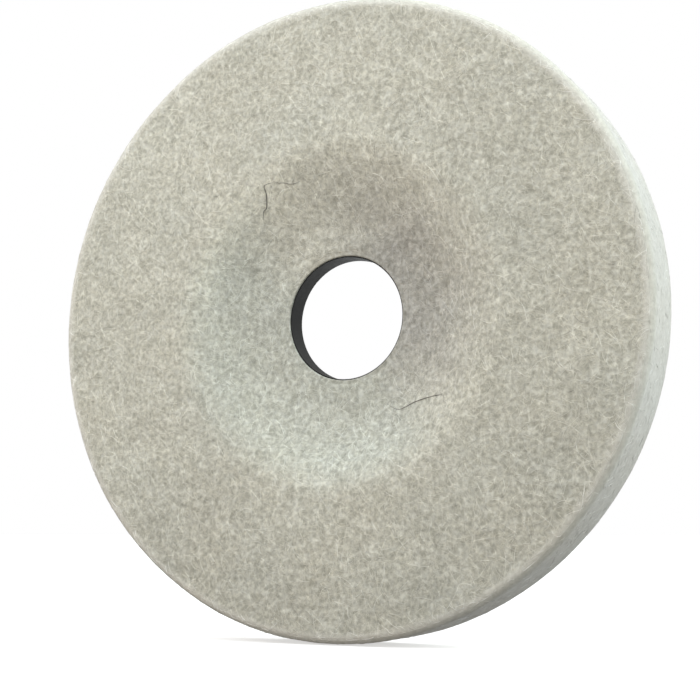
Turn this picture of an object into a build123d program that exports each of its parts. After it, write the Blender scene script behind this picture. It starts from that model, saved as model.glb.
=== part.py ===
"""Felt polishing wheel: a dished wool felt pad bonded to a glass-reinforced backing with a steel bore ring.

Millimetres. +Y is the spin axis and points out of the tool side, -Y is the working side, and +Z is up.
The origin is on the axis, in the seating plane where the machine's inner flange bears on the backing.
"""

from build123d import *
import os

# Felt pad
wheel_dia = 115.0            # outside diameter
rim_thickness = 12.7         # felt from the working face to the tool-side face, 1/2 inch
rear_step = 2.0              # the felt stands this far proud of the backing on the tool side
front_edge_radius = 1.6      # rounded edge between the rim and the working face
rear_edge_radius = 1.0       # rounded edge between the rim and the tool-side face
web_thickness = 1.5          # felt left between the dish floor and the bond film
dish_floor_dia = 30.0        # flat floor where a clamping nut bears
dish_mouth_dia = 65.0        # where the dish meets the working face
dish_shoulder = 5.0          # reach of the shoulder curve at the mouth
dish_foot = 7.0              # reach of the foot curve at the floor
lip_overlap = 0.3            # the felt lip covers this much of the ring's front end
lip_thickness = 0.5          # felt in front of the ring's front end
lip_edge_radius = 0.4        # rounded inner edge of the lip

# Backing
backing_dia = 94.0
rebate_gap = 0.6             # open groove between the backing's edge and the felt around it
bond_thickness = 0.3
ply_thickness = 0.5
core_thickness = 2.0
core_edge_chamfer = 0.4

# Bore ring
bore_dia = 22.23             # 7/8 inch arbor hole
ring_wall = 0.5
flange_dia = 34.0
flange_bend_radius = 0.4     # filled corner between the collar and the flange
entry_radius = 0.3           # rounded mouth of the bore on the tool side

# Planes across the axis, as positions along +Y
seat_y = 0.0
rear_ply_y = seat_y - ply_thickness
core_y = rear_ply_y - core_thickness
front_ply_y = core_y - ply_thickness
bond_y = front_ply_y - bond_thickness
floor_y = bond_y - web_thickness
lip_y = floor_y + lip_thickness
felt_rear_y = seat_y + rear_step
face_y = felt_rear_y - rim_thickness

# Radii from the axis
wheel_r = wheel_dia / 2
backing_r = backing_dia / 2
rebate_r = backing_r + rebate_gap
bore_r = bore_dia / 2
collar_r = bore_r + ring_wall
flange_r = flange_dia / 2
lip_r = collar_r - lip_overlap
floor_r = dish_floor_dia / 2
mouth_r = dish_mouth_dia / 2

# Every piece is turned about the axis from a half section drawn with its radius along X.
section = Plane.XY

# Wool felt: pressed from one block, dished in front, with a rebate behind for the backing.
with BuildPart() as felt_pad:
    with BuildSketch(section) as felt_section:
        with BuildLine():
            Polyline(
                (floor_r, floor_y),
                (lip_r, floor_y),
                (lip_r, lip_y),
                (collar_r, lip_y),
                (collar_r, bond_y),
                (rebate_r, bond_y),
                (rebate_r, felt_rear_y),
                (wheel_r, felt_rear_y),
                (wheel_r, face_y),
                (mouth_r, face_y),
            )
            Bezier(
                (mouth_r, face_y),
                (mouth_r - dish_shoulder, face_y),
                (floor_r + dish_foot, floor_y),
                (floor_r, floor_y),
            )
        make_face()
        fillet(felt_section.vertices().group_by(Axis.X)[-1].sort_by(Axis.Y)[0], front_edge_radius)
        fillet(felt_section.vertices().group_by(Axis.X)[-1].sort_by(Axis.Y)[-1], rear_edge_radius)
        fillet(felt_section.vertices().group_by(Axis.X)[0].sort_by(Axis.Y)[0], lip_edge_radius)
    revolve(axis=Axis.Y)
felt_pad.part.label = "felt_pad"

# Adhesive film between the felt web and the backing.
with BuildPart() as bond_film:
    with BuildSketch(section):
        with Locations(((collar_r + backing_r) / 2, bond_y + bond_thickness / 2)):
            Rectangle(backing_r - collar_r, bond_thickness)
    revolve(axis=Axis.Y)
bond_film.part.label = "bond_film"

# Woven glass reinforcement on the felt side of the backing.
with BuildPart() as front_glass_ply:
    with BuildSketch(section):
        with Locations(((collar_r + backing_r) / 2, front_ply_y + ply_thickness / 2)):
            Rectangle(backing_r - collar_r, ply_thickness)
    revolve(axis=Axis.Y)
front_glass_ply.part.label = "front_glass_ply"

# Moulded resin core that carries the felt and takes the clamping load.
with BuildPart() as backing_core:
    with BuildSketch(section) as core_section:
        with Locations(((collar_r + backing_r) / 2, core_y + core_thickness / 2)):
            Rectangle(backing_r - collar_r, core_thickness)
        chamfer(core_section.vertices().group_by(Axis.X)[-1], core_edge_chamfer)
        fillet(core_section.vertices().group_by(Axis.X)[0].sort_by(Axis.Y)[-1], flange_bend_radius)
    revolve(axis=Axis.Y)
backing_core.part.label = "backing_core"

# Woven glass reinforcement on the tool side, cut away where the ring's flange lies in it.
with BuildPart() as rear_glass_ply:
    with BuildSketch(section):
        with Locations(((flange_r + backing_r) / 2, rear_ply_y + ply_thickness / 2)):
            Rectangle(backing_r - flange_r, ply_thickness)
    revolve(axis=Axis.Y)
rear_glass_ply.part.label = "rear_glass_ply"

# Steel ring: a collar that lines the bore and a flange flush with the rear ply.
with BuildPart() as bore_ring:
    with BuildSketch(section) as ring_section:
        with BuildLine():
            Polyline(
                (bore_r, seat_y),
                (bore_r, lip_y),
                (collar_r, lip_y),
                (collar_r, rear_ply_y),
                (flange_r, rear_ply_y),
                (flange_r, seat_y),
                (bore_r, seat_y),
            )
        make_face()
        fillet(ring_section.vertices().group_by(Axis.X)[1].sort_by(Axis.Y)[-1], flange_bend_radius)
        fillet(ring_section.vertices().group_by(Axis.X)[0].sort_by(Axis.Y)[-1], entry_radius)
    revolve(axis=Axis.Y)
bore_ring.part.label = "bore_ring"

os.makedirs("parts", exist_ok=True)
export_step(felt_pad.part, "parts/felt_pad.step")
export_step(bond_film.part, "parts/bond_film.step")
export_step(front_glass_ply.part, "parts/front_glass_ply.step")
export_step(backing_core.part, "parts/backing_core.step")
export_step(rear_glass_ply.part, "parts/rear_glass_ply.step")
export_step(bore_ring.part, "parts/bore_ring.step")
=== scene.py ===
"""Looks of the felt polishing wheel: matted wool, its loose fibres, the woven backing and the bore ring.

Metres, in the row's frame: +Y is the spin axis and points out of the tool side, -Y is the working side.
"""

import math

import bpy
import numpy as np
from mathutils import Matrix, Vector, noise


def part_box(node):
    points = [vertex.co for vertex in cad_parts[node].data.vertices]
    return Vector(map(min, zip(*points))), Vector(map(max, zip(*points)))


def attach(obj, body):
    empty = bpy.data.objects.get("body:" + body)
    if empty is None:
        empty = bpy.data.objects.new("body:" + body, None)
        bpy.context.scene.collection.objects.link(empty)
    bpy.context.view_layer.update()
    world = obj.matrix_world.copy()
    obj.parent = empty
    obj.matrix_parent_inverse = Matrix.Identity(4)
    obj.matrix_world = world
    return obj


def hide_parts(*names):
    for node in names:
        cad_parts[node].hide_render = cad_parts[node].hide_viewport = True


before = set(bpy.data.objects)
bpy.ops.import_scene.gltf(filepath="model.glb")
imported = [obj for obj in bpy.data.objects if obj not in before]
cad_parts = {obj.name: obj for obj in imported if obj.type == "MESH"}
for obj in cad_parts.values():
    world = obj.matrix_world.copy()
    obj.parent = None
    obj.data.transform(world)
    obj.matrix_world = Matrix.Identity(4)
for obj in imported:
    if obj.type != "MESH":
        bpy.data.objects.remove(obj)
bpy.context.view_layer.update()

MM = 0.001
TURN = 2 * math.pi
SEAM_TOLERANCE = 1e-6        # how far off the plane of the seam, z = 0, a section vertex may lie
TINY = 1e-12                 # keeps a division from failing

# Felt surface
TURNS = 700                  # quads round the wheel
FINE_STEP = 0.46 * MM        # quad length on the felt a person can see
COARSE_STEP = 2.5 * MM       # quad length on the felt under the backing
SHORTEST_STEP = 0.45         # a shorter share of a step joins the quad before it
HIDDEN_BESIDE = 1 * MM       # past the backing's edge, the felt still counts as hidden
HIDDEN_BEHIND = 0.5 * MM     # in front of the bond film, it still does

# The wool's relief: (size of a lump, height, offset of its noise)
RELIEF = (
    (24.0 * MM, 0.20 * MM, 3.1),
    (6.5 * MM, 0.10 * MM, 17.7),
    (2.2 * MM, 0.055 * MM, 41.3),
    (0.9 * MM, 0.045 * MM, 67.9),
)
RIM_EDGE = (2.3 * MM, 1.1 * MM)            # in from the wheel's radius: the rim's finish starts, is full
RIM_RELIEF = 0.45            # the cut rim is smoother than the matted faces
RIM_TEXTURE = 0.35           # and its colour more even
LIP_SAG = 0.32 * MM          # the felt rolls softly into the bore
LIP_ROLL = 2.2 * MM
LIP_RELIEF = 0.1             # the share of the relief left at the lip
LIP_HOLD = 0.15 * MM         # the lip's own corner stays where the CAD has it

# Loose fibres of each kind: how many in a piece, then ranges of length, thickness, lift and paleness
FACE_PIECES = 7
FACE_WOOL = {
    "count": 6500,
    "lengths": (1.0 * MM, 4.4 * MM),
    "thickness": (0.09 * MM, 0.26 * MM),
    "lift": (0.0, 0.04 * MM),
}
PALE_WOOL = {
    "count": 1800,
    "lengths": (1.6 * MM, 7.5 * MM),
    "thickness": (0.13 * MM, 0.22 * MM),
    "lift": (0.02 * MM, 0.07 * MM),
    "paleness": (1.0, 1.35),
}
RIM_WOOL = {
    "count": 2600,
    "lengths": (0.8 * MM, 3.0 * MM),
    "thickness": (0.06 * MM, 0.11 * MM),
    "lift": (0.0, 0.05 * MM),
}
REAR_WOOL = {
    "count": 3600,
    "lengths": (1.2 * MM, 5.0 * MM),
    "thickness": (0.07 * MM, 0.14 * MM),
    "lift": (0.0, 0.10 * MM),
}
WOOL_SEED = 20
FIBRE_POINTS = 6             # points along a fibre
FIBRE_SIDES = 3
FIBRE_BEND = 300.0           # spread of their curvature, per metre
FIBRE_WAVES = 1.5            # a fibre's bend swings this many times along it
THIN_BIAS = 3                # a higher power makes more of the fibres thin
FIBRE_TUCK = 0.3             # how far the ends lie in the felt, in thicknesses
FIBRE_TAPER = 0.35           # a lower power keeps a fibre thick nearer its ends
FIBRE_TIP = 0.02             # before that power is taken
CELL_MARGIN = 0.15           # empty edge of a fibre's cell of texture space
ROW_MARGIN = 0.001           # keeps a fibre's place short of the skin's last row
TRIES = 6                    # places tried for each fibre, to leave them evenly spread
WOOL_LIP_GAP = 0.5 * MM      # bare felt next to the bore
WOOL_RIM_START = 0.9 * MM    # in from the wheel's radius, on the front edge
WOOL_RIM_END = (0.3 * MM, 0.6 * MM)        # in from the wheel's radius and from its rear, on the rear edge
DARK_FIBRE_SHARE = 0.004
DARK_FIBRE_TONE = 0.5

# Dark hairs: the points (right, up) that each goes through, in wheel radii, then their tones and thicknesses
HAIR_PATHS = (
    ((-0.205, 0.440), (-0.244, 0.431), (-0.243, 0.404), (-0.250, 0.365), (-0.262, 0.352), (-0.267, 0.320)),
    ((-0.118, 0.440), (-0.141, 0.432), (-0.161, 0.431), (-0.181, 0.436), (-0.196, 0.436), (-0.216, 0.438)),
    ((0.140, -0.272), (0.190, -0.298), (0.245, -0.279), (0.295, -0.267), (0.352, -0.264), (0.356, -0.295)),
)
HAIR_TONES = (0.08, 0.15, 0.16)
HAIR_THICKNESS = (0.21 * MM, 0.11 * MM, 0.15 * MM)
HAIR_COLOUR = (1.0, 0.93, 0.88)
HAIR_POINTS = 26
HAIR_LIFT = 0.12 * MM

# Colours of the wool
FELT_DARK = (0.44, 0.425, 0.35)
FELT_MID = (0.570, 0.552, 0.466)
FELT_PALE = (0.70, 0.688, 0.603)
FIBRE_DARK = (0.585, 0.567, 0.480)
FIBRE_PALE = (0.84, 0.827, 0.745)
GRAIN = 0.8                  # contrast of the spots in the wool's colour

# Slow changes of its colour, the wool's own and painted light and shade. A reach is a pair of lengths, from
# where a change starts to where it is full, and a side is a direction (right, up) on the face, with how
# squarely a place must lie that way for each.
# The rim's tint: its cut felt is paler, and a painted cool cast stands in for the cool side light on it.
RIM_TINT_AND_COOL_LIGHT = (1.12, 1.12, 1.22)
# The front edge's tint: paler felt, and a painted highlight where the rounded edge catches the light.
EDGE_TINT_AND_HIGHLIGHT = (1.14, 1.14, 1.19)
RIM_WALL_REACH = (0.4 * MM, 2.5 * MM)      # back from the face: the edge's tint gives way to the rim's
# A painted highlight along the rounded front edge.
EDGE_PAINTED_HIGHLIGHT = 0.10
EDGE_PAINTED_HIGHLIGHT_REACH = (1.2 * MM, 0.2 * MM)     # back from the face
# Darker and mauve round the bore, most to its upper right: partly discolouration of the felt, partly painted
# shade of its fall into the bore.
STAIN_AND_SHADE_TINT = (0.75, 0.735, 0.765)
STAIN_AND_SHADE_REACH = (0.56, 0.22)                 # in wheel radii
STAIN_AND_SHADE_ALL_ROUND = 0.16                     # the share of the darkening that lies on every side of the bore
STAIN_AND_SHADE_SIDE = ((0.95, 0.30), (0, 1))
STAIN_AND_SHADE_PATCHES = (7 * MM, 0.35, 5.5)        # (size, strength, offset of its noise)
# A painted cool cast of the top light, low and to the left in the dish.
COOL_LIGHT_TINT = (0.965, 1.0, 1.02)
COOL_LIGHT_REACH = (33 * MM, 25 * MM)
COOL_LIGHT_SIDE = ((-0.7, -0.7), (-0.3, 0.5))
# Painted light: the dish's slope, most high up, and its upper-left shoulder made paler.
SLOPE_REACHES = ((19 * MM, 25 * MM), (35 * MM, 29 * MM))
SLOPE_PAINTED_LIGHT = ((0.11, (0, 0.8)), (0.05, (-0.3, -0.9)))    # strength, and how far up or down it comes in
SHOULDER_REACHES = ((24.5 * MM, 27 * MM), (31 * MM, 28.5 * MM))
SHOULDER_PAINTED_LIGHT = 0.14
SHOULDER_SIDE = ((-0.82, 0.57), (0.75, 0.97))
# Painted shade: the outer face darker low down.
OUTER_REACH = (0.60, 0.90)                 # in wheel radii
OUTER_PAINTED_SHADE = (0.07, (-0.2, -0.9))
HUE_DRIFT = (12 * MM, 23.7, (0.008, -0.004, -0.018))      # (size, offset of its noise, change of colour)

# Patches of colour in the wool, down to single tufts: (size, strength, offset of its noise)
CLOUDS = (
    (19.0 * MM, 0.060, 9.2),
    (6.0 * MM, 0.045, 1.4),
    (2.0 * MM, 0.060, 33.9),
    (1.0 * MM, 0.100, 52.6),
)
RIM_CLEARS_CLOUDS = 0.75     # the rim keeps the rest of them

# The wool's fine texture, in its material: strands as (directions, first angle, scale, stretch, weight)
TUFTS = (4, 0.2, 1400.0, 4.0, 0.50)
FINE_STRANDS = (3, 0.6, 3000.0, 8.0, 0.28)
STRAND_TILTS = (-14, 9, -5)  # degrees out of the sheet
STRAND_SHIFT = (0.37, 0.19, 0.53)          # sets each direction's noise apart
MOTTLE_SCALE, MOTTLE_WEIGHT = 900.0, 0.22
GRAIN_SCALE = 1300.0
STRAND_WANDER = 0.0025       # metres that the strands wander from straight
WANDER_SCALE = 260.0
TEXTURE_STOPS = (0.485, 0.575, 0.665)      # where the texture is dark, middling and pale
BUMP_STRENGTH = 0.3
WOOL_BUMP, YARN_BUMP = 0.08 * MM, 0.04 * MM

# Glass cloth on the tool side
CLOTH_STEP = 0.42 * MM
YARN_PITCH = 3.0 * MM
YARN_WIDTH = 2.7 * MM
YARN_FLATNESS = 4            # a higher power gives a flatter yarn
YARN_DIP = 0.25              # height of a yarn where it goes under, in crown heights
CLOTH_DEPTH = 0.26 * MM      # from the crowns of the yarns to the resin between them
CLOTH_GAP = 0.02 * MM        # from the ring's flange
BETWEEN_YARNS = 2            # puts a place beside a yarn below any other yarn
YARN_DRIFT = (0.25 * MM, 14 * MM, (2.2, 8.8))  # how far yarns wander, size and offsets of that noise
RESIN_FLOOD = (0.30, 0.10, 5 * MM, 6.1)    # the resin's height and variation, size and offset of that noise
CLOTH_EDGE = 0.8 * MM        # the weave fades into resin over this width at both edges
CLOTH_EDGE_HEIGHT = 0.55
FILAMENT_SCALE, FILAMENT_STRETCH = 6500.0, 12.0
CLOTH_COLOURS = (            # from the resin between the yarns to their crowns
    (0.05, (0.016, 0.015, 0.013)),
    (0.35, (0.040, 0.036, 0.028)),
    (0.62, (0.105, 0.095, 0.072)),
)

# View: from in front and to the right of the wheel, low down, looking up at its dish
VIEW_AZIMUTH, VIEW_ELEVATION = 25.8, -7.4  # degrees
VIEW_DISTANCE = 4.464        # in wheel radii
VIEW_SLIDE = (0.020, 0.092)  # left and down, in wheel radii
VIEW_LENS, VIEW_SENSOR = 72.0, 36.0        # millimetres

SOFT_BOX_DISTANCE = 0.40
SOFT_BOX_SIZE = 0.40
FLOOR_HALF_SIZE = 6.0
FLOOR_GAP = 0.2 * MM         # for the fibres under the rim


# ---------------------------------------------------------------- reading the frame

def seam_section(node):
    """The closed half section of a turned CAD node, as ordered (radius, y) points, read along its seam."""
    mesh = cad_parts[node].data
    points = {}
    for vertex in mesh.vertices:
        if abs(vertex.co.z) < SEAM_TOLERANCE and vertex.co.x > 0:
            points[vertex.index] = (round(vertex.co.x, 7), round(vertex.co.y, 7))
    beside = {}
    for edge in mesh.edges:
        a, b = (points.get(i) for i in edge.vertices)
        if a is not None and b is not None and a != b:
            beside.setdefault(a, set()).add(b)
            beside.setdefault(b, set()).add(a)
    start = min(beside, key=lambda point: (point[0], -point[1]))
    section = [start, min(beside[start], key=lambda point: point[1])]
    while section[-1] != start:
        last, here = section[-2:]
        section.append(next(point for point in beside[here] if point != last))
    return np.array(section)


felt_low, felt_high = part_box("felt_pad")
wheel_radius = felt_high.x
face_y = felt_low.y
rear_y = felt_high.y
bond_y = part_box("bond_film")[0].y
backing_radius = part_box("backing_core")[1].x
flange_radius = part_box("bore_ring")[1].x
cloth_low, cloth_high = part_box("rear_glass_ply")
felt_outline = seam_section("felt_pad")
lip_radius = float(felt_outline[:, 0].min())


# ---------------------------------------------------------------- meshes

def mesh_object(name, vertices, faces):
    """A new smooth object riding on the wheel, from arrays of vertices and of faces of one kind."""
    mesh = bpy.data.meshes.new(name)
    mesh.vertices.add(len(vertices))
    mesh.vertices.foreach_set("co", vertices.astype(np.float32).ravel())
    mesh.loops.add(faces.size)
    mesh.loops.foreach_set("vertex_index", faces.astype(np.int32).ravel())
    mesh.polygons.add(len(faces))
    mesh.polygons.foreach_set("loop_start", np.arange(0, faces.size, faces.shape[1], dtype=np.int32))
    mesh.polygons.foreach_set("use_smooth", np.ones(len(faces), bool))
    mesh.update(calc_edges=True)
    mesh.validate()
    obj = bpy.data.objects.new(name, mesh)
    bpy.context.scene.collection.objects.link(obj)
    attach(obj, "root")
    return obj


def give_tint(obj, colours, texture=1.0):
    """Gives each vertex a colour that its material multiplies by, and how strongly its texture shows."""
    attribute = obj.data.attributes.new("tint", "FLOAT_COLOR", "POINT")
    rgba = np.empty((len(colours), 4), np.float32)
    rgba[:, :3] = colours
    rgba[:, 3] = texture
    attribute.data.foreach_set("color", rgba.ravel())


def give_cells(obj, count, points, sides):
    """Texture space for fibres: each has its own cell of a square, so that its colour can be baked."""
    quads = (points - 1) * sides
    cells = math.ceil(math.sqrt(count))
    fibre, part = np.divmod(np.arange(count * quads), quads)
    segment, side = np.divmod(part, sides)
    corner_u = segment[:, None] + np.array((0, 1, 1, 0))
    corner_v = side[:, None] + np.array((0, 0, 1, 1))
    used = 1 - 2 * CELL_MARGIN
    u = (fibre % cells)[:, None] + CELL_MARGIN + used * corner_u / (points - 1)
    v = (fibre // cells)[:, None] + CELL_MARGIN + used * corner_v / sides
    layer = obj.data.uv_layers.new(name="OFBake")
    layer.data.foreach_set("uv", (np.stack([u, v], axis=-1) / cells).astype(np.float32).ravel())


def turned_grid(outline, turns):
    """Vertices of an outline turned about +Y, as an array [outline point, turn, xyz]."""
    angle = np.arange(turns) * TURN / turns
    radius, height = outline[:, 0][:, None], outline[:, 1][:, None]
    x, z = radius * np.cos(angle), radius * np.sin(angle)
    return np.stack([x, np.broadcast_to(height, x.shape), z], axis=-1)


def unit(vectors):
    return vectors / np.maximum(np.linalg.norm(vectors, axis=-1, keepdims=True), TINY)


def grid_normals(grid):
    """Unit normals of a closed turned grid, pointing out of the solid."""
    along = np.roll(grid, -1, axis=0) - np.roll(grid, 1, axis=0)
    across = np.roll(grid, -1, axis=1) - np.roll(grid, 1, axis=1)
    return unit(np.cross(along, across))


def grid_faces(rows, columns):
    """Quads of a grid that closes on itself both ways."""
    row, column = np.meshgrid(np.arange(rows), np.arange(columns), indexing="ij")
    next_row, next_column = (row + 1) % rows, (column + 1) % columns
    corners = (
        row * columns + column,
        row * columns + next_column,
        next_row * columns + next_column,
        next_row * columns + column,
    )
    return np.stack(corners, axis=-1).reshape(-1, 4)


def noise_at(points, size, offset):
    """Seeded smooth noise, about -1 to 1, at an array of points."""
    shift = Vector((offset, offset, offset))
    flat = points.reshape(-1, 3) / size
    return np.array([noise.noise(Vector(point) + shift) for point in flat]).reshape(points.shape[:-1])


def smooth_step(low, high, values):
    """0 at low to 1 at high, eased at both ends; low may be the greater of the two."""
    t = np.clip((values - low) / (high - low), 0, 1)
    return t * t * (3 - 2 * t)


# ---------------------------------------------------------------- the felt body

def hidden_felt(radius, y):
    """True where the felt lies against the backing."""
    return radius < backing_radius + HIDDEN_BESIDE and y > bond_y - HIDDEN_BEHIND


def felt_rows():
    """The felt's outline as points about a quad apart, closely where it is seen."""
    points = [felt_outline[0]]
    for a, b in zip(felt_outline[:-1], felt_outline[1:]):
        wanted = COARSE_STEP if hidden_felt(*((a + b) / 2)) else FINE_STEP
        count = max(1, round(float(np.linalg.norm(b - a)) / wanted))
        for k in range(1, count + 1):
            point = a + (b - a) * k / count
            if np.linalg.norm(point - points[-1]) > SHORTEST_STEP * wanted:
                points.append(point)
    return np.array(points[:-1] if np.allclose(points[-1], points[0]) else points)


def rim_share(points):
    """1 on the cut rim and its rounded edges, 0 on the matted faces."""
    radius = np.hypot(points[..., 0], points[..., 2])
    return smooth_step(wheel_radius - RIM_EDGE[0], wheel_radius - RIM_EDGE[1], radius)


def rim_texture(points):
    """How strongly the colour's fine texture shows."""
    return 1 - (1 - RIM_TEXTURE) * rim_share(points)


def lies_to(side, rightward, upward):
    """1 where a place lies squarely to a side of the axis, 0 where it lies away from it."""
    (right, up), squarely = side
    return smooth_step(*squarely, right * rightward + up * upward)


def band(reaches, radius):
    """1 in a ring round the axis, faded at its inner and outer edges."""
    inner, outer = reaches
    return smooth_step(*inner, radius) * smooth_step(*outer, radius)


def rim_tint_and_painted_light(points):
    """The rim is paler than the faces, with a painted cool cast of the side light on it, and a painted
    highlight along its front edge.
    """
    behind_face = (points[..., 1] - face_y)[..., None]
    rim = rim_share(points)[..., None]
    wall = smooth_step(*RIM_WALL_REACH, behind_face)
    tint = 1 + rim * (np.array(EDGE_TINT_AND_HIGHLIGHT) * (1 - wall) + np.array(RIM_TINT_AND_COOL_LIGHT) * wall - 1)
    # The painted highlight along the rounded front edge.
    return tint * (1 + EDGE_PAINTED_HIGHLIGHT * rim * smooth_step(*EDGE_PAINTED_HIGHLIGHT_REACH, behind_face))


def stain_and_shade(points, radius, rightward, upward):
    """How dark and mauve the felt is near the bore, partly discolouration and partly painted shade: most to
    one side of the bore, and in patches.
    """
    size, strength, offset = STAIN_AND_SHADE_PATCHES
    dirt_and_shade = smooth_step(*STAIN_AND_SHADE_REACH, radius / wheel_radius)
    dirt_and_shade = dirt_and_shade * (STAIN_AND_SHADE_ALL_ROUND + (1 - STAIN_AND_SHADE_ALL_ROUND) * lies_to(STAIN_AND_SHADE_SIDE, rightward, upward))
    return np.clip(dirt_and_shade * (1 + strength * noise_at(points, size, offset)), 0, 1)


def shade(points, radius, rightward, upward):
    """How pale the felt is: painted light on the dish's slope and shoulder, painted shade low on the face,
    and clouds of the wool's own tone.
    """
    slope = sum(strength * smooth_step(*reach, upward) for strength, reach in SLOPE_PAINTED_LIGHT)
    pale = 1 + band(SLOPE_REACHES, radius) * slope
    pale = pale + SHOULDER_PAINTED_LIGHT * band(SHOULDER_REACHES, radius) * lies_to(SHOULDER_SIDE, rightward, upward)
    strength, reach = OUTER_PAINTED_SHADE
    pale = pale - strength * smooth_step(*OUTER_REACH, radius / wheel_radius) * smooth_step(*reach, upward)
    kept = 1 - RIM_CLEARS_CLOUDS * rim_share(points)
    for size, amount, offset in CLOUDS:
        pale = pale + amount * noise_at(points, size, offset) * kept
    return pale


def wool_tint(points):
    """The slow changes of colour over the felt, painted light and shade among them, as what its material's
    colour is multiplied by.
    """
    radius = np.hypot(points[..., 0], points[..., 2])
    rightward, upward = points[..., 0] / radius, points[..., 2] / radius
    tint = rim_tint_and_painted_light(points)
    # Darkening round the bore: discolouration, with painted shade.
    tint = tint * (1 + stain_and_shade(points, radius, rightward, upward)[..., None] * (np.array(STAIN_AND_SHADE_TINT) - 1))
    # Painted cool cast of the top light, low and to the left in the dish.
    film = smooth_step(*COOL_LIGHT_REACH, radius) * lies_to(COOL_LIGHT_SIDE, rightward, upward)
    tint = tint * (1 + film[..., None] * (np.array(COOL_LIGHT_TINT) - 1))
    size, offset, change = HUE_DRIFT
    hue = noise_at(points, size, offset)[..., None] * np.array(change)
    return tint * (shade(points, radius, rightward, upward)[..., None] + hue)


def felt_surface():
    """The felt's uneven grid [row, turn, xyz], its rows' outline and which rows are hidden."""
    rows = felt_rows()
    grid = turned_grid(rows, TURNS)
    normals = grid_normals(grid)
    hidden = np.array([hidden_felt(*point) for point in rows])
    height = np.zeros(grid.shape[:2])
    for size, amount, offset in RELIEF:
        height += amount * noise_at(grid, size, offset)
    height *= 1 + (RIM_RELIEF - 1) * rim_share(grid)
    from_lip = rows[:, 0] - lip_radius
    front = rows[:, 1] < bond_y
    height *= np.clip(from_lip / LIP_ROLL, LIP_RELIEF, 1)[:, None]
    height -= (LIP_SAG * np.clip(1 - from_lip / LIP_ROLL, 0, 1) ** 2 * front)[:, None]
    height[hidden] = 0
    height[from_lip < LIP_HOLD] = 0
    return grid + normals * height[..., None], rows, hidden


felt_grid, felt_line, felt_hidden = felt_surface()
felt_body = mesh_object("felt_body", felt_grid.reshape(-1, 3), grid_faces(*felt_grid.shape[:2]))
felt_normals = grid_normals(felt_grid)
# The felt's tint, painted light and shade included.
give_tint(felt_body, wool_tint(felt_grid).reshape(-1, 3), rim_texture(felt_grid).ravel())
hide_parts("felt_pad")


# ---------------------------------------------------------------- loose fibres

class Skin:
    """The visible felt as a sheet measured along its outline and round the axis, for fibres to lie on."""

    def __init__(self):
        seen = np.nonzero(~felt_hidden)[0]
        breaks = np.nonzero(np.diff(seen) > 1)[0]
        rows = seen[:breaks[0] + 1] if len(breaks) else seen
        self.grid = felt_grid[rows]
        self.normal = felt_normals[rows]
        self.radius = felt_line[rows, 0]
        self.y = felt_line[rows, 1]
        steps = np.linalg.norm(np.diff(felt_line[rows], axis=0), axis=1)
        self.along = np.concatenate([[0.0], np.cumsum(steps)])

    def radius_at(self, s):
        return np.interp(s, self.along, self.radius)

    def length_where(self, found):
        """How far along the outline the first row that answers to found lies."""
        return float(self.along[np.nonzero(found)[0][0]])

    def sample(self, array, s, angle):
        """Bilinear reading of a grid array at lengths s and angles."""
        last = len(self.along) - 1
        row = np.clip(np.interp(s, self.along, np.arange(last + 1)), 0, last - ROW_MARGIN)
        turn = (angle / TURN * TURNS) % TURNS
        i, j = np.floor(row).astype(int), np.floor(turn).astype(int) % TURNS
        u, v = (row - i)[..., None], (turn - np.floor(turn))[..., None]
        k = (j + 1) % TURNS
        low = array[i, j] * (1 - v) + array[i, k] * v
        high = array[i + 1, j] * (1 - v) + array[i + 1, k] * v
        return low * (1 - u) + high * u


skin = Skin()
lip_end = skin.length_where(skin.radius > lip_radius + WOOL_LIP_GAP)
rim_start = skin.length_where(skin.radius > wheel_radius - WOOL_RIM_START)
past_rim = (skin.radius < wheel_radius - WOOL_RIM_END[0]) & (skin.y > rear_y - WOOL_RIM_END[1])
rim_end = skin.length_where(past_rim)
skin_end = float(skin.along[-1])


def scattered(rng, count, start, end, lengths):
    """Curved paths scattered evenly over the skin: lengths along it and angles, both as [fibre, point]."""
    tries = rng.uniform(start, end, count * TRIES)
    s = tries[rng.uniform(0, wheel_radius, len(tries)) < skin.radius_at(tries)][:count]
    angle = rng.uniform(0, TURN, count)
    heading = rng.uniform(0, TURN, count)
    step = np.exp(rng.uniform(np.log(lengths[0]), np.log(lengths[1]), count)) / (FIBRE_POINTS - 1)
    curl, swing = rng.normal(0, FIBRE_BEND, count), rng.normal(0, FIBRE_BEND, count)
    phase = rng.uniform(0, TURN, count)
    s_path, angle_path = [s], [angle]
    for k in range(1, FIBRE_POINTS):
        heading = heading + (curl + swing * np.sin(phase + TURN * FIBRE_WAVES * k / FIBRE_POINTS)) * step
        s = np.clip(s + step * np.cos(heading), start, end)
        angle = angle + step * np.sin(heading) / skin.radius_at(s)
        s_path.append(s)
        angle_path.append(angle)
    return np.stack(s_path, 1), np.stack(angle_path, 1)


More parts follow.
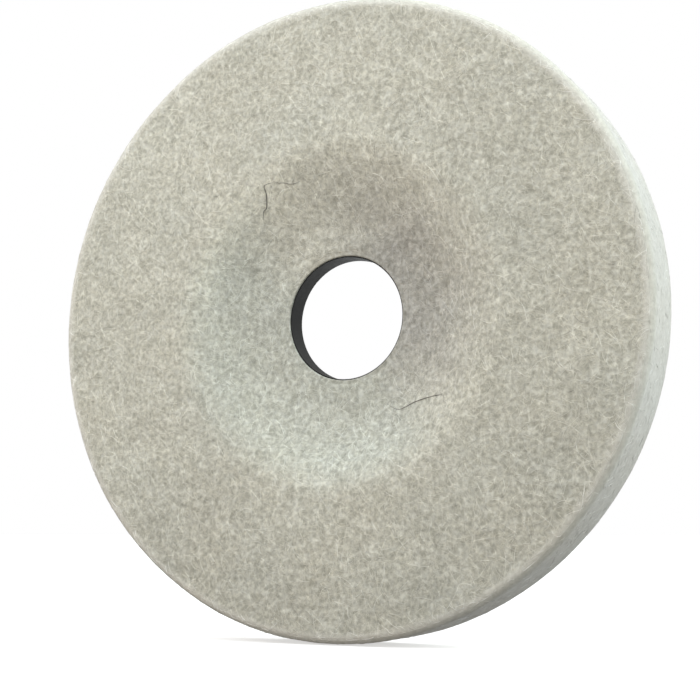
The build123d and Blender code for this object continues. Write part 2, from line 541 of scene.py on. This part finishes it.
def tubes(name, s, angle, thickness, lift, tone):
    """Tapered fibres along paths on the skin, ends tucked in and middles lifted, as one object."""
    count, points = s.shape
    out = unit(skin.sample(skin.normal, s, angle))
    bow = np.sin(np.linspace(0, 1, points) * math.pi)
    rise = lift[:, None] * bow - FIBRE_TUCK * thickness[:, None]
    centre = skin.sample(skin.grid, s, angle) + out * rise[..., None]
    tangent = unit(np.gradient(centre, axis=1))
    side = unit(np.cross(tangent, out))
    up = np.cross(side, tangent)
    half_width = thickness[:, None] / 2 * np.clip(bow, FIBRE_TIP, 1) ** FIBRE_TAPER
    corner = np.arange(FIBRE_SIDES) * TURN / FIBRE_SIDES + math.pi / 2
    ring = centre[:, :, None] + half_width[..., None, None] * (
        np.cos(corner)[:, None] * side[:, :, None] + np.sin(corner)[:, None] * up[:, :, None]
    )
    index = np.arange(count * points * FIBRE_SIDES).reshape(count, points, FIBRE_SIDES)
    a, b = index[:, :-1], index[:, 1:]
    quads = np.stack([a, b, np.roll(b, -1, 2), np.roll(a, -1, 2)], axis=-1).reshape(-1, 4)
    obj = mesh_object(name, ring.reshape(-1, 3), quads)
    give_cells(obj, count, points, FIBRE_SIDES)
    middle = centre[:, points // 2]
    corners = points * FIBRE_SIDES
    # The fibres take the felt's tint, painted light and shade included.
    give_tint(
        obj,
        np.repeat(tone * wool_tint(middle), corners, axis=0),
        np.repeat(rim_texture(middle), corners),
    )
    return obj


def wool_fibres(name, rng, start, end, count, lengths, thickness, lift, paleness=(0, 1)):
    """One piece of loose wool, scattered over the skin from start to end."""
    s, angle = scattered(rng, count, start, end, lengths)
    pale = rng.uniform(*paleness, count)[:, None]
    tone = np.array(FIBRE_DARK) * (1 - pale) + np.array(FIBRE_PALE) * pale
    tone[rng.uniform(0, 1, count) < DARK_FIBRE_SHARE] *= DARK_FIBRE_TONE
    thick = thickness[0] + (thickness[1] - thickness[0]) * rng.uniform(0, 1, count) ** THIN_BIAS
    return tubes(name, s, angle, thick, rng.uniform(*lift, count), tone)


rng = np.random.default_rng(WOOL_SEED)
wool_pieces = [
    wool_fibres(f"face_fibres_{k + 1}", rng, lip_end, rim_start, **FACE_WOOL)
    for k in range(FACE_PIECES)
]
wool_pieces.append(wool_fibres("pale_fibres", rng, lip_end, rim_start, **PALE_WOOL))
wool_pieces.append(wool_fibres("rim_fibres", rng, rim_start, rim_end, **RIM_WOOL))
wool_pieces.append(wool_fibres("rear_fibres", rng, rim_end, skin_end, **REAR_WOOL))


# ---------------------------------------------------------------- dark hairs caught in the wool

def on_skin(right, up):
    """Length along the skin and angle of a point of the working side, given in wheel radii."""
    radius = math.hypot(right, up) * wheel_radius
    front = skin.y < bond_y
    return np.interp(radius, skin.radius[front], skin.along[front]), math.atan2(up, right)


def hair(points):
    """A smooth path (a Catmull-Rom spline) through points of the working side, given in wheel radii."""
    points = np.array(points)
    t = np.linspace(0, len(points) - 1, HAIR_POINTS)
    k = np.clip(np.floor(t).astype(int), 0, len(points) - 2)
    u = (t - k)[:, None]
    before, here = points[np.maximum(k - 1, 0)], points[k]
    after, later = points[k + 1], points[np.minimum(k + 2, len(points) - 1)]
    path = 0.5 * (
        2 * here + (after - before) * u + (2 * before - 5 * here + 4 * after - later) * u ** 2
        + (3 * here - before - 3 * after + later) * u ** 3
    )
    return np.array([on_skin(*point) for point in path])


def dark_hairs():
    paths = np.stack([hair(points) for points in HAIR_PATHS])
    s, angle = paths[..., 0], np.unwrap(paths[..., 1], axis=1)
    tone = np.array(HAIR_TONES)[:, None] * np.array(HAIR_COLOUR)
    return tubes("dark_hairs", s, angle, np.array(HAIR_THICKNESS), np.full(len(paths), HAIR_LIFT), tone)


hairs = dark_hairs()


# ---------------------------------------------------------------- the glass cloth on the tool side

def weave(x, z):
    """Height of a plain weave, 0 between the yarns to 1 on their crowns, and which yarns are on top."""
    def yarns(across, along, flip):
        count = np.round(across / YARN_PITCH)
        off = (across - count * YARN_PITCH) / (YARN_WIDTH / 2)
        body = np.sqrt(np.clip(1 - off ** YARN_FLATNESS, 0, 1))
        crimp = 0.5 + 0.5 * np.cos(math.pi * (along / YARN_PITCH + count + flip))
        return body * (YARN_DIP + (1 - YARN_DIP) * crimp) - BETWEEN_YARNS * (np.abs(off) > 1)

    warp, weft = yarns(z, x, 0), yarns(x, z, 1)
    return np.clip(np.maximum(warp, weft), 0, 1), warp > weft


def glass_cloth():
    """The rear ply with its weave: an uneven top over a plain underside and edges."""
    inner, outer = flange_radius + CLOTH_GAP, cloth_high.x
    radii = np.linspace(inner, outer, round((outer - inner) / CLOTH_STEP))
    rows = [(radius, cloth_high.y) for radius in radii]
    rows += [(outer, cloth_low.y), (inner, cloth_low.y)]
    grid = turned_grid(np.array(rows), TURNS)
    top = grid[:len(radii)]
    drift, drift_size, drift_offsets = YARN_DRIFT
    x = top[..., 0] + drift * noise_at(top, drift_size, drift_offsets[0])
    z = top[..., 2] + drift * noise_at(top, drift_size, drift_offsets[1])
    height, warp_on_top = weave(x, z)
    level, variation, flood_size, flood_offset = RESIN_FLOOD
    flood = level + variation * noise_at(top, flood_size, flood_offset)
    inside = band(((inner, inner + CLOTH_EDGE), (outer, outer - CLOTH_EDGE)), radii)[:, None]
    height = np.maximum(height, flood) * inside + CLOTH_EDGE_HEIGHT * (1 - inside)
    top[..., 1] -= CLOTH_DEPTH * (1 - height)
    obj = mesh_object("rear_glass_cloth", grid.reshape(-1, 3), grid_faces(*grid.shape[:2]))
    yarn = np.zeros(grid.shape[:2] + (3,))
    yarn[:len(radii), :, 0] = warp_on_top
    yarn[:len(radii), :, 1] = np.clip((height - flood) / (1 - flood), 0, 1)
    give_tint(obj, yarn.reshape(-1, 3))
    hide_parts("rear_glass_ply")
    return obj


cloth = glass_cloth()


# ---------------------------------------------------------------- materials

def node_material(name):
    material = bpy.data.materials.new(name)
    material.use_nodes = True
    return material, material.node_tree, material.node_tree.nodes["Principled BSDF"]


def value_of(tree, kind, vector, **inputs):
    """A texture node fed by a vector, with its settings and inputs given by name."""
    node = tree.nodes.new(kind)
    tree.links.new(vector, node.inputs["Vector"])
    for name, value in inputs.items():
        node.inputs[name].default_value = value
    return node


def noise_texture(tree, vector, scale, detail=1.0):
    return value_of(tree, "ShaderNodeTexNoise", vector, Scale=scale, Detail=detail).outputs["Fac"]


def math_node(tree, operation, a, b=0.0):
    node = tree.nodes.new("ShaderNodeMath")
    node.operation = operation
    for socket, value in zip(node.inputs, (a, b)):
        if hasattr(value, "links"):
            tree.links.new(value, socket)
        else:
            socket.default_value = value
    return node.outputs[0]


def colour_ramp(tree, source, stops):
    stops = list(stops)
    node = tree.nodes.new("ShaderNodeValToRGB")
    elements = node.color_ramp.elements
    while len(elements) < len(stops):
        elements.new(0.5)
    for element, (position, colour) in zip(elements, stops):
        element.position = position
        element.color = (*colour, 1.0)
    tree.links.new(source, node.inputs["Fac"])
    return node.outputs["Color"]


def vertex_tint(tree):
    tint = tree.nodes.new("ShaderNodeAttribute")
    tint.attribute_name = "tint"
    return tint


def mixed_colour(tree, blend, factor, a, b):
    """Two colours mixed in the given way; each may be a socket or a plain value."""
    mix = tree.nodes.new("ShaderNodeMix")
    mix.data_type = "RGBA"
    mix.blend_type = blend
    for name, value in (("Factor", factor), ("A", a), ("B", b)):
        if hasattr(value, "links"):
            tree.links.new(value, mix.inputs[name])
        else:
            mix.inputs[name].default_value = value
    return mix.outputs["Result"]


def grain(tree, place, texture, colour):
    """Darkens and lightens a colour in spots a few fibres across, the same in the felt and its fibres."""
    spots = noise_texture(tree, place, GRAIN_SCALE)
    strength = math_node(tree, "MULTIPLY", texture, GRAIN)
    shade = math_node(tree, "MULTIPLY", math_node(tree, "SUBTRACT", spots, 0.5), strength)
    return mixed_colour(tree, "MULTIPLY", 1.0, colour, math_node(tree, "ADD", shade, 1.0))


def strands(tree, place, directions, first, scale, stretch, weight):
    """Lines lying in the sheet in several directions: noise stretched along each, the palest showing."""
    shown = None
    for k in range(directions):
        tilt = math.radians(STRAND_TILTS[k % len(STRAND_TILTS)])
        turn = tree.nodes.new("ShaderNodeMapping")
        turn.vector_type = "TEXTURE"
        turn.inputs["Rotation"].default_value = (tilt, first + math.pi * k / directions, 0)
        turn.inputs["Scale"].default_value = (stretch, 1, 1)
        turn.inputs["Location"].default_value = [k * shift for shift in STRAND_SHIFT]
        tree.links.new(place, turn.inputs["Vector"])
        lines = noise_texture(tree, turn.outputs["Vector"], scale)
        shown = lines if shown is None else math_node(tree, "MAXIMUM", shown, lines)
    return math_node(tree, "MULTIPLY", shown, weight)


def bump_from(tree, height, distance, shader):
    """Roughens a shader with a fine height that its mesh is too coarse to carry."""
    bump = tree.nodes.new("ShaderNodeBump")
    bump.inputs["Strength"].default_value = BUMP_STRENGTH
    bump.inputs["Distance"].default_value = distance
    tree.links.new(height, bump.inputs["Height"])
    tree.links.new(bump.outputs["Normal"], shader.inputs["Normal"])


def matted_wool():
    """Pressed wool: tufts and finer fibres crossing in the sheet, over a soft mottle."""
    material, tree, shader = node_material("matted_wool")
    place = tree.nodes.new("ShaderNodeTexCoord").outputs["Object"]
    wander = value_of(tree, "ShaderNodeTexNoise", place, Scale=WANDER_SCALE, Detail=1.0).outputs["Color"]
    bent = tree.nodes.new("ShaderNodeVectorMath")
    bent.operation = "MULTIPLY_ADD"
    tree.links.new(wander, bent.inputs[0])
    bent.inputs[1].default_value = (STRAND_WANDER, STRAND_WANDER, STRAND_WANDER)
    tree.links.new(place, bent.inputs[2])
    tufts = strands(tree, bent.outputs[0], *TUFTS)
    fine = strands(tree, bent.outputs[0], *FINE_STRANDS)
    mottle = math_node(tree, "MULTIPLY", noise_texture(tree, place, MOTTLE_SCALE), MOTTLE_WEIGHT)
    texture = math_node(tree, "ADD", tufts, math_node(tree, "ADD", fine, mottle))
    colour = colour_ramp(tree, texture, zip(TEXTURE_STOPS, (FELT_DARK, FELT_MID, FELT_PALE)))
    tint = vertex_tint(tree)
    colour = mixed_colour(tree, "MIX", tint.outputs["Alpha"], (*FELT_MID, 1), colour)
    colour = mixed_colour(tree, "MULTIPLY", 1.0, colour, tint.outputs["Color"])
    tree.links.new(grain(tree, place, tint.outputs["Alpha"], colour), shader.inputs["Base Color"])
    shader.inputs["Roughness"].default_value = 0.95
    shader.inputs["Specular IOR Level"].default_value = 0.2
    shader.inputs["Sheen Weight"].default_value = 0.12
    shader.inputs["Sheen Roughness"].default_value = 0.7
    bump_from(tree, texture, WOOL_BUMP, shader)
    return material


def wool_fibre(name, roughness):
    material, tree, shader = node_material(name)
    place = tree.nodes.new("ShaderNodeTexCoord").outputs["Object"]
    tint = vertex_tint(tree)
    colour = grain(tree, place, tint.outputs["Alpha"], tint.outputs["Color"])
    tree.links.new(colour, shader.inputs["Base Color"])
    shader.inputs["Roughness"].default_value = roughness
    shader.inputs["Specular IOR Level"].default_value = 0.25
    return material


def moulded(name, colour, spread, scale, roughness, shine=0.5):
    """A plain finish with a fine procedural speckle in its colour and its gloss."""
    material, tree, shader = node_material(name)
    place = tree.nodes.new("ShaderNodeTexCoord").outputs["Object"]
    speckle = noise_texture(tree, place, scale, detail=4.0)
    dark = tuple(channel * (1 - spread) for channel in colour)
    pale = tuple(channel * (1 + spread) for channel in colour)
    tree.links.new(colour_ramp(tree, speckle, ((0.35, dark), (0.65, pale))), shader.inputs["Base Color"])
    gloss = math_node(tree, "ADD", math_node(tree, "MULTIPLY", speckle, 0.3), roughness - 0.15)
    tree.links.new(gloss, shader.inputs["Roughness"])
    shader.inputs["Specular IOR Level"].default_value = shine
    return material


def resin_cloth():
    """Glass yarns in dark resin: fine filaments along whichever yarn is on top, resin pooled between."""
    material, tree, shader = node_material("resin_cloth")
    place = tree.nodes.new("ShaderNodeTexCoord").outputs["Object"]
    parts = tree.nodes.new("ShaderNodeSeparateColor")
    tree.links.new(vertex_tint(tree).outputs["Color"], parts.inputs[0])
    filaments = []
    for squash in ((FILAMENT_STRETCH, 1, 1), (1, 1, FILAMENT_STRETCH)):
        stretch = tree.nodes.new("ShaderNodeMapping")
        stretch.vector_type = "TEXTURE"
        stretch.inputs["Scale"].default_value = squash
        tree.links.new(place, stretch.inputs["Vector"])
        filaments.append(noise_texture(tree, stretch.outputs["Vector"], FILAMENT_SCALE))
    chosen = tree.nodes.new("ShaderNodeMix")
    tree.links.new(parts.outputs[0], chosen.inputs["Factor"])
    tree.links.new(filaments[1], chosen.inputs["A"])
    tree.links.new(filaments[0], chosen.inputs["B"])
    thread = math_node(tree, "MULTIPLY", chosen.outputs["Result"], parts.outputs[1])
    tree.links.new(colour_ramp(tree, thread, CLOTH_COLOURS), shader.inputs["Base Color"])
    cloudy = noise_texture(tree, place, 180.0, detail=3.0)
    gloss = math_node(tree, "ADD", math_node(tree, "MULTIPLY", cloudy, 0.4), 0.22)
    tree.links.new(gloss, shader.inputs["Roughness"])
    bump_from(tree, thread, YARN_BUMP, shader)
    return material


def dress(node, material):
    """Puts a material on a CAD node that is shown as it is."""
    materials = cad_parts[node].data.materials
    materials.clear()
    materials.append(material)


felt_body.data.materials.append(matted_wool())
cloth.data.materials.append(resin_cloth())
dress("bore_ring", moulded("blackened_steel_worn", (0.0074, 0.0072, 0.007), 0.35, 900.0, 0.6, 0.2))
dress("backing_core", moulded("moulded_resin", (0.030, 0.028, 0.026), 0.4, 1500.0, 0.6))
dress("front_glass_ply", moulded("resin_soaked_glass", (0.060, 0.053, 0.040), 0.5, 2500.0, 0.5))
dress("bond_film", moulded("set_adhesive", (0.42, 0.30, 0.13), 0.25, 700.0, 0.35))
fibre = wool_fibre("wool_fibre", 0.85)
for piece in wool_pieces:
    piece.data.materials.append(fibre)
hairs.data.materials.append(wool_fibre("dark_hair", 0.5))


# ---------------------------------------------------------------- stage, lights and camera

def floor():
    """A plain pale floor just under the wheel. It glows a little, but doesn't light the wheel's wool."""
    size = FLOOR_HALF_SIZE
    corners = [(-size, -size, 0), (size, -size, 0), (size, size, 0), (-size, size, 0)]
    mesh = bpy.data.meshes.new("floor")
    mesh.from_pydata(corners, [], [(0, 1, 2, 3)])
    obj = bpy.data.objects.new("floor", mesh)
    obj.location.z = felt_low.z - FLOOR_GAP
    bpy.context.scene.collection.objects.link(obj)
    material, _, shader = node_material("floor_white")
    shader.inputs["Base Color"].default_value = (0.86, 0.86, 0.86, 1)
    shader.inputs["Roughness"].default_value = 1.0
    shader.inputs["Specular IOR Level"].default_value = 0.0
    shader.inputs["Emission Color"].default_value = (1, 1, 1, 1)
    shader.inputs["Emission Strength"].default_value = 0.5
    mesh.materials.append(material)
    obj.visible_diffuse = False


def lamp(name, kind, direction, energy, colour):
    """A lamp shining on the wheel from the given direction."""
    light = bpy.data.lights.new(name, kind)
    light.energy = energy
    light.color = colour
    obj = bpy.data.objects.new(name, light)
    obj.rotation_euler = Vector(direction).to_track_quat("Z", "Y").to_euler()
    bpy.context.scene.collection.objects.link(obj)
    return obj


def sun(name, direction, strength, angle, colour):
    lamp(name, "SUN", direction, strength, colour).data.angle = math.radians(angle)


def soft_box(name, direction, power, colour):
    """A round soft light near the wheel, not itself in the picture."""
    obj = lamp(name, "AREA", direction, power, colour)
    obj.location = Vector(direction).normalized() * SOFT_BOX_DISTANCE
    obj.data.shape = "DISK"
    obj.data.size = SOFT_BOX_SIZE
    obj.visible_camera = False


def surroundings(lighting, colour, backdrop):
    """Even light from all round, with a plain backdrop where the camera looks past everything."""
    world = bpy.data.worlds.new("studio")
    world.use_nodes = True
    tree = world.node_tree
    tree.nodes.clear()
    rays = tree.nodes.new("ShaderNodeLightPath")
    light = tree.nodes.new("ShaderNodeBackground")
    light.inputs["Color"].default_value = (*colour, 1)
    light.inputs["Strength"].default_value = lighting
    seen = tree.nodes.new("ShaderNodeBackground")
    seen.inputs["Color"].default_value = (1, 1, 1, 1)
    seen.inputs["Strength"].default_value = backdrop
    mix = tree.nodes.new("ShaderNodeMixShader")
    out = tree.nodes.new("ShaderNodeOutputWorld")
    tree.links.new(rays.outputs["Is Camera Ray"], mix.inputs[0])
    tree.links.new(light.outputs[0], mix.inputs[1])
    tree.links.new(seen.outputs[0], mix.inputs[2])
    tree.links.new(mix.outputs[0], out.inputs[0])
    bpy.context.scene.world = world


def camera():
    azimuth, elevation = math.radians(VIEW_AZIMUTH), math.radians(VIEW_ELEVATION)
    slide_left, slide_down = VIEW_SLIDE
    forward = Vector((
        -math.sin(azimuth) * math.cos(elevation),
        math.cos(azimuth) * math.cos(elevation),
        -math.sin(elevation),
    ))
    right = Vector((math.cos(azimuth), math.sin(azimuth), 0))
    up = right.cross(forward)
    lens = bpy.data.cameras.new("camera")
    lens.lens = VIEW_LENS
    lens.sensor_width = VIEW_SENSOR
    lens.clip_start = 1 * MM
    obj = bpy.data.objects.new("camera", lens)
    place = -wheel_radius * (VIEW_DISTANCE * forward + slide_left * right + slide_down * up)
    obj.matrix_world = Matrix.Translation(place) @ forward.to_track_quat("-Z", "Y").to_matrix().to_4x4()
    bpy.context.scene.collection.objects.link(obj)
    bpy.context.scene.camera = obj


floor()
soft_box("front_light", direction=(-0.3, -1.0, 0.45), power=0.90, colour=(1.0, 0.92, 0.845))
soft_box("top_light", direction=(-0.1, -0.65, 0.85), power=0.68, colour=(0.69, 0.86, 1.0))
sun("low_fill", direction=(0.9, -0.5, -0.2), strength=0.65, angle=60, colour=(0.81, 0.97, 1.0))
sun("side_light", direction=(0.9, 0.3, 0.65), strength=2.95, angle=60, colour=(0.92, 1.0, 1.0))
sun("back_fill", direction=(-0.5, 1.0, 0.35), strength=1.0, angle=90, colour=(1.0, 0.98, 0.95))
surroundings(lighting=0.245, colour=(1.0, 0.97, 0.93), backdrop=1.0)
camera()
bpy.context.scene.view_settings.view_transform = "Standard"
